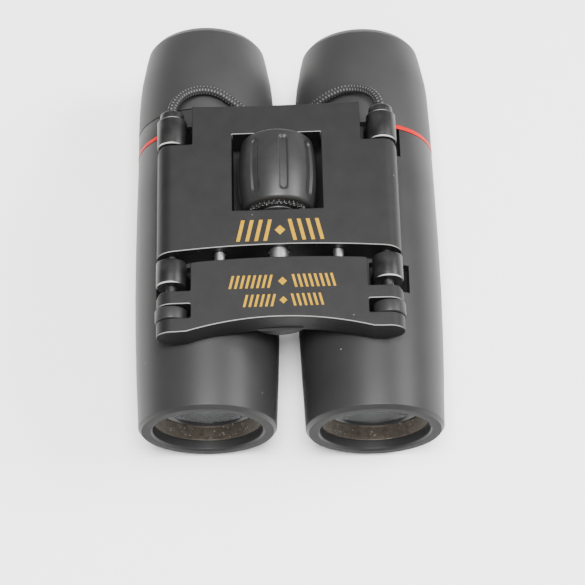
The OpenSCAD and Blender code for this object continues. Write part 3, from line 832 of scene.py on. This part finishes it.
for side in ("left", "right"):
    tube = link_mesh(f"{side}_tube", lathe_mesh(f"{side}_tube", rounded([
        (tube_bore, tube_front), (tube_r, tube_front), (tube_r, tube_back), (tube_bore, tube_back)
    ], 0.15 * MM)))
    tube.data.materials.append(tube_black)
    tube.matrix_world = barrel_frame[side]
    soften(tube)
    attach(tube, f"{side}_tube")
    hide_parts(f"{side}_inner_tube")
    for where, span, web in (
        ("rear", (11.85 * MM, 18.4 * MM), (12 * MM, 18.2 * MM)),
        ("front", (-21.05 * MM, -15.5 * MM), (-21 * MM, -17.4 * MM)),
    ):
        knuckle(
            f"{side}_{where}_knuckle", knuckle_r, span, web, tube_r - 0.6 * MM,
            gloss_black, f"{side}_tube", barrel_frame[side],
        )

# ---------------------------------------------------------------- barrels
# The sliding outer barrels: black mouldings in soft-touch paint, swelling a
# little in the middle, with two slots over the hinge and a knuckle of their own.
soft_touch, nodes, links, shader = new_material("soft_touch_black", (0.022, 0.022, 0.022), 0.42)
grain(nodes, links, shader, 3800, 0.35, ((0.015, 0.015, 0.015), (0.02, 0.02, 0.02)), 90)
dust_and_glints(nodes, links, shader, 190, 0.025, (0.16, 0.16, 0.16))
shader.inputs["Specular IOR Level"].default_value = 0.2
barrel_end = 18.4 * MM
barrel_knuckle_r = 3.4 * MM
barrel_bore = 13.6 * MM
bulkhead_y = -33.5 * MM
seat_depth = 10.1 * MM
mouth_r = 11.75 * MM
mouth_depth = 2.2 * MM
seat_r = 11.35 * MM
lens_clear = 10.5 * MM
slots = ((11.5 * MM, 20 * MM, 5.2 * MM), (-21.2 * MM, -14.9 * MM, 5.7 * MM))
slot_inboard = 3.1 * MM

for side in ("left", "right"):
    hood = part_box(f"{side}_barrel_shell")[0].y
    seat = hood + seat_depth
    outline = [
        (mouth_r, hood + 0.45 * MM, 0.2 * MM), (12.15 * MM, hood, 0.2 * MM),
        (14.1 * MM, hood, 0.15 * MM), (14.8 * MM, hood + 0.8 * MM, 0.3 * MM),
        (15.05 * MM, -40 * MM, 0), (15.3 * MM, -35 * MM, 0), (15.6 * MM, -26 * MM, 0),
        (15.8 * MM, -16 * MM, 0), (15.8 * MM, -4 * MM, 0), (15.65 * MM, 8 * MM, 0),
        (15.5 * MM, barrel_end, 0.12 * MM), (barrel_bore, barrel_end, 0.1 * MM),
        (barrel_bore, bulkhead_y, 0), (lens_clear, bulkhead_y, 0), (lens_clear, seat, 0),
        (seat_r, seat, 0), (seat_r, hood + mouth_depth, 0), (mouth_r, hood + mouth_depth, 0),
    ]
    shell = link_mesh(f"{side}_barrel", lathe_mesh(f"{side}_barrel", rounded(outline, 0.1 * MM), 192))
    outboard = -1 if side == "left" else 1
    for front_y, back_y, width in slots:
        low_x, high_x = sorted((outboard * width, -outboard * slot_inboard))
        carve(shell, box_mesh("slot", (low_x, front_y, 11 * MM), (high_x, back_y, 17 * MM)))
    shell.data.materials.clear()
    shell.data.materials.append(soft_touch)
    shell.data.materials.append(tube_black)  # the front face of the mouth, in the darker tube black
    for face in shell.data.polygons:
        face.material_index = int(face.center.y < hood + 0.03 * MM)
    shell.matrix_world = barrel_frame[side]
    soften(shell, 35)
    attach(shell, f"{side}_barrel")
    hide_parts(f"{side}_barrel_shell")
    knuckle(
        f"{side}_barrel_knuckle", barrel_knuckle_r, (-29.2 * MM, -26.4 * MM),
        (-29.15 * MM, -26.45 * MM), 15.0 * MM, soft_touch, f"{side}_barrel", barrel_frame[side],
    )

# ---------------------------------------------------------------- objectives
# A bronze-brown retaining ring holds each cemented objective against its seat,
# with a thin black spacer ring between them. Lenses and prisms are coated glass.
bronze, nodes, links, shader = new_material("bronze_anodised", (0.05, 0.042, 0.033), 0.55, 0.5)
grain(nodes, links, shader, 1500, 1.0, ((0.035, 0.029, 0.022), (0.075, 0.062, 0.048)), 900)
# Bright specks on the bronze: painted glints.
dust_and_glints(nodes, links, shader, 1400, 0.09, (0.7, 0.69, 0.66))
glass, nodes, links, shader = new_material("coated_glass", (0.8, 0.85, 0.84), 0.03)
shader.inputs["Transmission Weight"].default_value = 0.9
shader.inputs["IOR"].default_value = 1.52
shader.inputs["Coat Weight"].default_value = 0.3
shader.inputs["Coat Tint"].default_value = (0.93, 0.94, 1.0, 1)
flat_black, nodes, links, shader = new_material("flat_inner_black", (0.015, 0.015, 0.015), 0.6)
grain(nodes, links, shader, 2200, 0.5)
seal_black, nodes, links, shader = new_material("greased_seal", (0.01, 0.01, 0.01), 0.25)

ring_width = 3.7 * MM
thread_steps = 24
thread_depth = 0.07

for side in ("left", "right"):
    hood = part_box(f"{side}_barrel_shell")[0].y
    front = hood + mouth_depth
    rear = front + ring_width
    outline = [(seat_r, front, 0.1 * MM), (seat_r, rear, 0), (10.3 * MM, rear, 0)]
    for k in range(thread_steps):
        part = k / (thread_steps - 1)
        groove = thread_depth if k % 2 else 0.0
        thread_r = 10.5 + 0.7 * part ** 0.7 + groove
        outline.append((thread_r * MM, front + (2.7 - 2.6 * part) * MM, 0))
    outline.append((11.3 * MM, front, 0))
    ring_mesh = lathe_mesh(f"{side}_retainer", rounded(outline, 0.1 * MM), 160)
    ring = link_mesh(f"{side}_retainer", ring_mesh)
    ring.data.materials.append(bronze)
    ring.matrix_world = barrel_frame[side]
    soften(ring)
    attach(ring, f"{side}_barrel")
    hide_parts(f"{side}_retaining_ring")
    spacer = link_mesh(f"{side}_spacer", lathe_mesh(f"{side}_spacer", rounded([
        (10.3 * MM, front + 3.0 * MM), (10.45 * MM, front + 3.0 * MM),
        (10.3 * MM, rear), (9.7 * MM, rear),
    ], 0.08 * MM), 160))
    spacer.data.materials.append(seal_black)
    spacer.matrix_world = barrel_frame[side]
    soften(spacer)
    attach(spacer, f"{side}_barrel")
    finish_cad(glass, f"{side}_objective_crown", f"{side}_objective_flint", f"{side}_roof_prism")
    finish_cad(glass, f"{side}_half_penta_prism", f"{side}_field_lens", f"{side}_eye_lens")
    finish_cad(flat_black, f"{side}_prism_cage", f"{side}_eyepiece_housing")
    finish_cad(seal_black, f"{side}_grease_ring")

# ---------------------------------------------------------------- trim and eyecups
# A glossy red ring behind each barrel, and a soft rubber eyecup that tapers to
# a thick round lip. The left cup starts at a seam of its own and turns.
red, nodes, links, shader = new_material("gloss_red", (0.4, 0.002, 0.003), 0.4)
shader.inputs["Specular IOR Level"].default_value = 0.1
grain(nodes, links, shader, 900, 0.1, ((0.38, 0.0015, 0.002), (0.43, 0.003, 0.004)), 200)
cup_black, nodes, links, shader = new_material("soft_rubber_black", (0.03, 0.03, 0.03), 0.5)
grain(nodes, links, shader, 3000, 0.35, ((0.018, 0.018, 0.018), (0.023, 0.023, 0.023)), 80)
shader.inputs["Specular IOR Level"].default_value = 0.25

trim_r = 15.55 * MM
collar_r, collar_front = 15.5 * MM, 19.5 * MM

for side in ("left", "right"):
    low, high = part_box(f"{side}_red_ring")
    ring = link_mesh(f"{side}_trim_ring", lathe_mesh(f"{side}_trim_ring", rounded([
        (tube_r, low.y), (trim_r, low.y), (trim_r, high.y), (tube_r, high.y)
    ], 0.15 * MM), 192))
    low_x, high_x = (-2.5, 6.5) if side == "left" else (-6.5, 2.5)
    carve(ring, box_mesh("gap", (low_x * MM, 17 * MM, 11 * MM), (high_x * MM, 21 * MM, 17 * MM)))
    ring.data.materials.clear()
    ring.data.materials.append(red)
    ring.data.materials.append(tube_black)
    # The ring's two end faces are coloured black: painted shade, so that no red shows in the shaded
    # gap beside the knuckle.
    end_skin = 0.06 * MM
    for face in ring.data.polygons:
        at = face.center.y
        face.material_index = int(at < low.y + end_skin or at > high.y - end_skin)
    ring.matrix_world = barrel_frame[side]
    soften(ring)
    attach(ring, f"{side}_tube")
    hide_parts(f"{side}_red_ring")

sleeve = link_mesh("left_collar", lathe_mesh("left_collar", rounded([
    (tube_r, collar_front, 0), (collar_r, collar_front), (collar_r, tube_back),
    (tube_r, tube_back, 0),
], 0.2 * MM), 192))
sleeve.data.materials.append(soft_touch)
sleeve.matrix_world = barrel_frame["left"]
soften(sleeve)
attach(sleeve, "left_tube")
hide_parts("left_collar_sleeve")

cup_hollow_r, cup_hollow_depth = 9.4 * MM, 6.5 * MM
cup_bore = 12.25 * MM
for side, body, inner_r in (("left", "left_eyepiece", cup_bore), ("right", "right_tube", tube_r)):
    start, end = (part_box(f"{side}_eyecup")[k].y for k in (0, 1))
    outline = [
        (inner_r, start, 0), (15.5 * MM, start, 0.2 * MM), (15.42 * MM, start + 6 * MM, 0),
        (15.15 * MM, end - 12.5 * MM, 0), (14.85 * MM, end - 9.5 * MM, 0),
        (14.4 * MM, end - 7 * MM, 0), (13.95 * MM, end - 4.3 * MM, 0),
        (13.4 * MM, end - 1.8 * MM, 1.2 * MM), (12.0 * MM, end, 1.6 * MM),
        (cup_hollow_r, end, 1.0 * MM), (cup_hollow_r, end - cup_hollow_depth, 0.4 * MM),
        (cup_bore, end - cup_hollow_depth, 0),
    ]
    if side == "right":
        outline += [(cup_bore, tube_back, 0), (tube_r, tube_back, 0)]
    cup = link_mesh(f"{side}_cup", lathe_mesh(f"{side}_cup", rounded(outline, 0.2 * MM, 6), 192))
    cup.data.materials.append(cup_black)
    cup.matrix_world = barrel_frame[side]
    soften(cup)
    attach(cup, body)
    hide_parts(f"{side}_eyecup")

# ---------------------------------------------------------------- the end
bpy.context.view_layer.update()
